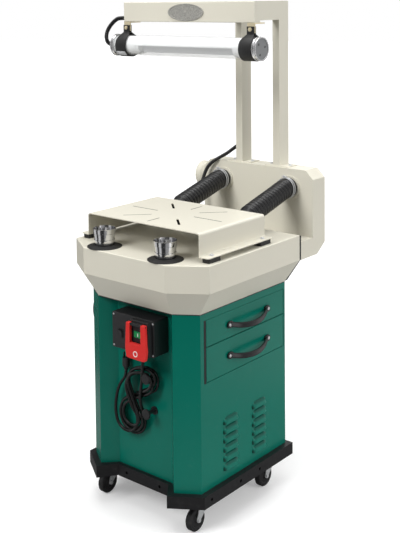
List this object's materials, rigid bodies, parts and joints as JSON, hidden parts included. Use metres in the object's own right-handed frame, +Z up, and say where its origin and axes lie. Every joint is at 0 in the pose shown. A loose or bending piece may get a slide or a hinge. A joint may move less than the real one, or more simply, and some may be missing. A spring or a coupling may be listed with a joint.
{
  "type": "twin drum sander",
  "caption": "Upright cup-drum sander on a wheeled steel cabinet, with drawers, a slotted work table, dust hoses to a rear box and a tube lamp on posts.",
  "frame": {"origin": "on the floor under the middle of the machine's box, the power cord left out", "axes": "+Z up, the front with the drums and switch faces -Y, the drawers pull out towards +X"},
  "size_m": [0.7188, 0.8336, 1.72],
  "materials": {
    "green_paint": "semi-gloss powder coat",
    "cream_paint": "satin powder coat",
    "black_paint": "semi-gloss powder coat",
    "zinc": "bright zinc plate",
    "bare_steel": "machined",
    "cast_iron": "painted casting",
    "motor_paint": "matt paint",
    "chrome": "polished",
    "black_plastic": "fine grained",
    "hose_plastic": "ribbed",
    "black_rubber": "matt",
    "caster_tread": "matt",
    "clear_tube": "clear",
    "white_plastic": "smooth",
    "red_plastic": "smooth",
    "on_green_plastic": "smooth"
  },
  "bodies": {
    "machine": {"cabinet_back_panel": "green_paint", "cabinet_front_panel": "green_paint", "cabinet_left_side": "green_paint", "cabinet_right_side": "green_paint", "cable_glands": "black_plastic", "caster_plates": "zinc", "control_box": "black_plastic", "cord_hank": "black_rubber", "cord_hooks": "black_plastic", "dolly_base": "black_paint", "drawer_runners": "bare_steel", "drive_belt": "black_rubber", "dust_box": "cream_paint", "dust_hoses": "hose_plastic", "dust_outlet": "cream_paint", "dust_skirts": "black_rubber", "fixing_screws": "zinc", "head_gaskets": "black_rubber", "head_housing": "cream_paint", "hose_clamps": "zinc", "lamp_beam": "cream_paint", "lamp_brackets": "zinc", "lamp_cables": "black_rubber", "lamp_posts": "cream_paint", "lamp_straps": "black_plastic", "motor_body": "motor_paint", "motor_plate": "motor_paint", "power_cord": "black_rubber", "power_plug": "black_plastic", "spindle_bearings": "bare_steel", "spindle_housings": "cast_iron", "switch_housing": "black_plastic", "table_feet": "black_rubber", "work_table": "cream_paint"},
    "left_drum": {"left_drum": "chrome", "left_spindle": "bare_steel"},
    "right_drum": {"right_drum": "chrome", "right_spindle": "bare_steel"},
    "motor_rotor": {"motor_rotor": "bare_steel"},
    "upper_drawer": {"upper_drawer": "green_paint", "upper_drawer_handle": "black_plastic"},
    "lower_drawer": {"lower_drawer": "green_paint", "lower_drawer_handle": "black_plastic"},
    "access_door": {"access_door": "green_paint", "door_handle": "black_plastic"},
    "stop_paddle": {"stop_paddle": "red_plastic"},
    "on_button": {"on_button": "on_green_plastic"},
    "stop_button": {"stop_button": "red_plastic"},
    "rocker_switch": {"rocker_switch": "black_plastic"},
    "lamp": {"lamp_glass": "clear_tube", "lamp_end_caps": "chrome", "lamp_light_unit": "white_plastic"},
    "caster_fork_front_left": {"caster_fork_front_left": "zinc"},
    "caster_wheel_front_left": {"caster_wheel_front_left": "caster_tread"},
    "caster_fork_front_right": {"caster_fork_front_right": "zinc"},
    "caster_wheel_front_right": {"caster_wheel_front_right": "caster_tread"},
    "caster_fork_rear_left": {"caster_fork_rear_left": "zinc"},
    "caster_wheel_rear_left": {"caster_wheel_rear_left": "caster_tread"},
    "caster_fork_rear_right": {"caster_fork_rear_right": "zinc"},
    "caster_wheel_rear_right": {"caster_wheel_rear_right": "caster_tread"}
  },
  "joints": [
    {"name": "motor_spin", "type": "hinge", "parent": "machine", "child": "motor_rotor", "pos_m": [-0.07759, -0.09775, 0.819], "axis": [0, 0, 1], "continuous": true},
    {"name": "left_drum_spin", "type": "hinge", "parent": "machine", "child": "left_drum", "pos_m": [-0.09959, -0.35375, 0.819], "axis": [0, 0, 1], "continuous": true},
    {"name": "right_drum_spin", "type": "hinge", "parent": "machine", "child": "right_drum", "pos_m": [0.17441, -0.35375, 0.819], "axis": [0, 0, 1], "continuous": true},
    {"name": "upper_drawer_slide", "type": "slide", "parent": "machine", "child": "upper_drawer", "axis": [1, 0, 0], "range_m": [0, 0.16]},
    {"name": "lower_drawer_slide", "type": "slide", "parent": "machine", "child": "lower_drawer", "axis": [1, 0, 0], "range_m": [0, 0.16]},
    {"name": "access_door_hinge", "type": "hinge", "parent": "machine", "child": "access_door", "pos_m": [-0.20959, 0.13825, 0.45], "axis": [0, 0, -1], "range_deg": [0, 110]},
    {"name": "stop_paddle_hinge", "type": "hinge", "parent": "machine", "child": "stop_paddle", "pos_m": [0.09541, -0.41125, 0.684], "axis": [1, 0, 0], "range_deg": [0, 2.4], "stiffness_Nm_per_rad": 1.5},
    {"name": "stop_button_travel", "type": "slide", "parent": "machine", "child": "stop_button", "axis": [0, 1, 0], "range_m": [0, 0.0039]},
    {"name": "on_button_travel", "type": "slide", "parent": "machine", "child": "on_button", "axis": [0, 1, 0], "range_m": [0, 0.0025], "stiffness_N_per_m": 600},
    {"name": "rocker_tilt", "type": "hinge", "parent": "machine", "child": "rocker_switch", "pos_m": [-0.00159, -0.38125, 0.629], "axis": [1, 0, 0], "range_deg": [-12, 0]},
    {"name": "lamp_turn", "type": "hinge", "parent": "machine", "child": "lamp", "pos_m": [0.03741, -0.07775, 1.565], "axis": [1, 0, 0], "range_deg": [-60, 60]},
    {"name": "caster_swivel_front_left", "type": "hinge", "parent": "machine", "child": "caster_fork_front_left", "pos_m": [-0.16259, -0.26975, 0.087], "axis": [0, 0, 1], "continuous": true},
    {"name": "caster_roll_front_left", "type": "hinge", "parent": "caster_fork_front_left", "child": "caster_wheel_front_left", "pos_m": [-0.16259, -0.29475, 0.038], "axis": [1, 0, 0], "continuous": true},
    {"name": "caster_swivel_front_right", "type": "hinge", "parent": "machine", "child": "caster_fork_front_right", "pos_m": [0.23741, -0.26975, 0.087], "axis": [0, 0, 1], "continuous": true},
    {"name": "caster_roll_front_right", "type": "hinge", "parent": "caster_fork_front_right", "child": "caster_wheel_front_right", "pos_m": [0.23741, -0.29475, 0.038], "axis": [1, 0, 0], "continuous": true},
    {"name": "caster_swivel_rear_left", "type": "hinge", "parent": "machine", "child": "caster_fork_rear_left", "pos_m": [-0.16259, 0.10925, 0.087], "axis": [0, 0, 1], "continuous": true},
    {"name": "caster_roll_rear_left", "type": "hinge", "parent": "caster_fork_rear_left", "child": "caster_wheel_rear_left", "pos_m": [-0.16259, 0.08425, 0.038], "axis": [1, 0, 0], "continuous": true},
    {"name": "caster_swivel_rear_right", "type": "hinge", "parent": "machine", "child": "caster_fork_rear_right", "pos_m": [0.23741, 0.10925, 0.087], "axis": [0, 0, 1], "continuous": true},
    {"name": "caster_roll_rear_right", "type": "hinge", "parent": "caster_fork_rear_right", "child": "caster_wheel_rear_right", "pos_m": [0.23741, 0.08425, 0.038], "axis": [1, 0, 0], "continuous": true}
  ],
  "couplings": [
    {"joint": "left_drum_spin", "follows": "motor_spin", "ratio": 1},
    {"joint": "right_drum_spin", "follows": "motor_spin", "ratio": 1},
    {"joint": "stop_button_travel", "follows": "stop_paddle_hinge", "m_per_rad": 0.092}
  ]
}
